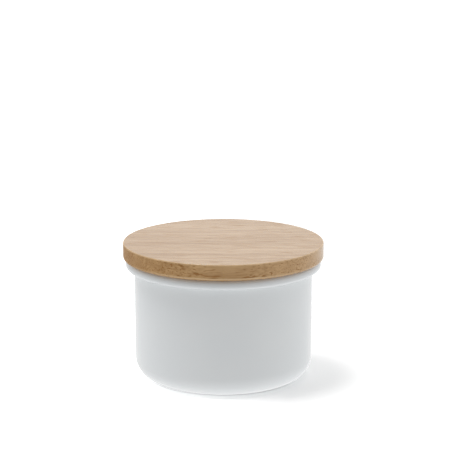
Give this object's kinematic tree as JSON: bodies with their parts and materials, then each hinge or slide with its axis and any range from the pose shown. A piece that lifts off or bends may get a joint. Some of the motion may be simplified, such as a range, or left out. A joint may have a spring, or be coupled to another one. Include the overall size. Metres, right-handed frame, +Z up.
{
  "type": "storage jar",
  "caption": "Low round kitchen storage jar: white enamelled pot with rounded foot and rolled rim, closed by a flat wooden lid whose plug carries a seal ring.",
  "frame": {"origin": "on the jar's axis, in the plane that the foot stands on", "axes": "+Z up along the jar's axis; the wood's grain runs along X; -Y faces the viewer"},
  "size_m": [0.135, 0.135, 0.0934],
  "materials": {
    "enamel": "glossy white vitreous enamel on steel",
    "wood": "oiled pale hardwood, fine straight grain",
    "silicone": "translucent white silicone, satin"
  },
  "bodies": {
    "pot": {"pot": "enamel"},
    "seal": {"seal_ring": "silicone"},
    "lid": {"lid": "wood"}
  },
  "joints": [
    {"name": "lid_lift", "type": "slide", "parent": "pot", "child": "seal", "axis": [0, 0, 1], "range_m": [0, 0.08]},
    {"name": "lid_turn", "type": "hinge", "parent": "seal", "child": "lid", "pos_m": [0, 0, 0.0826], "axis": [0, 0, 1], "continuous": true}
  ]
}
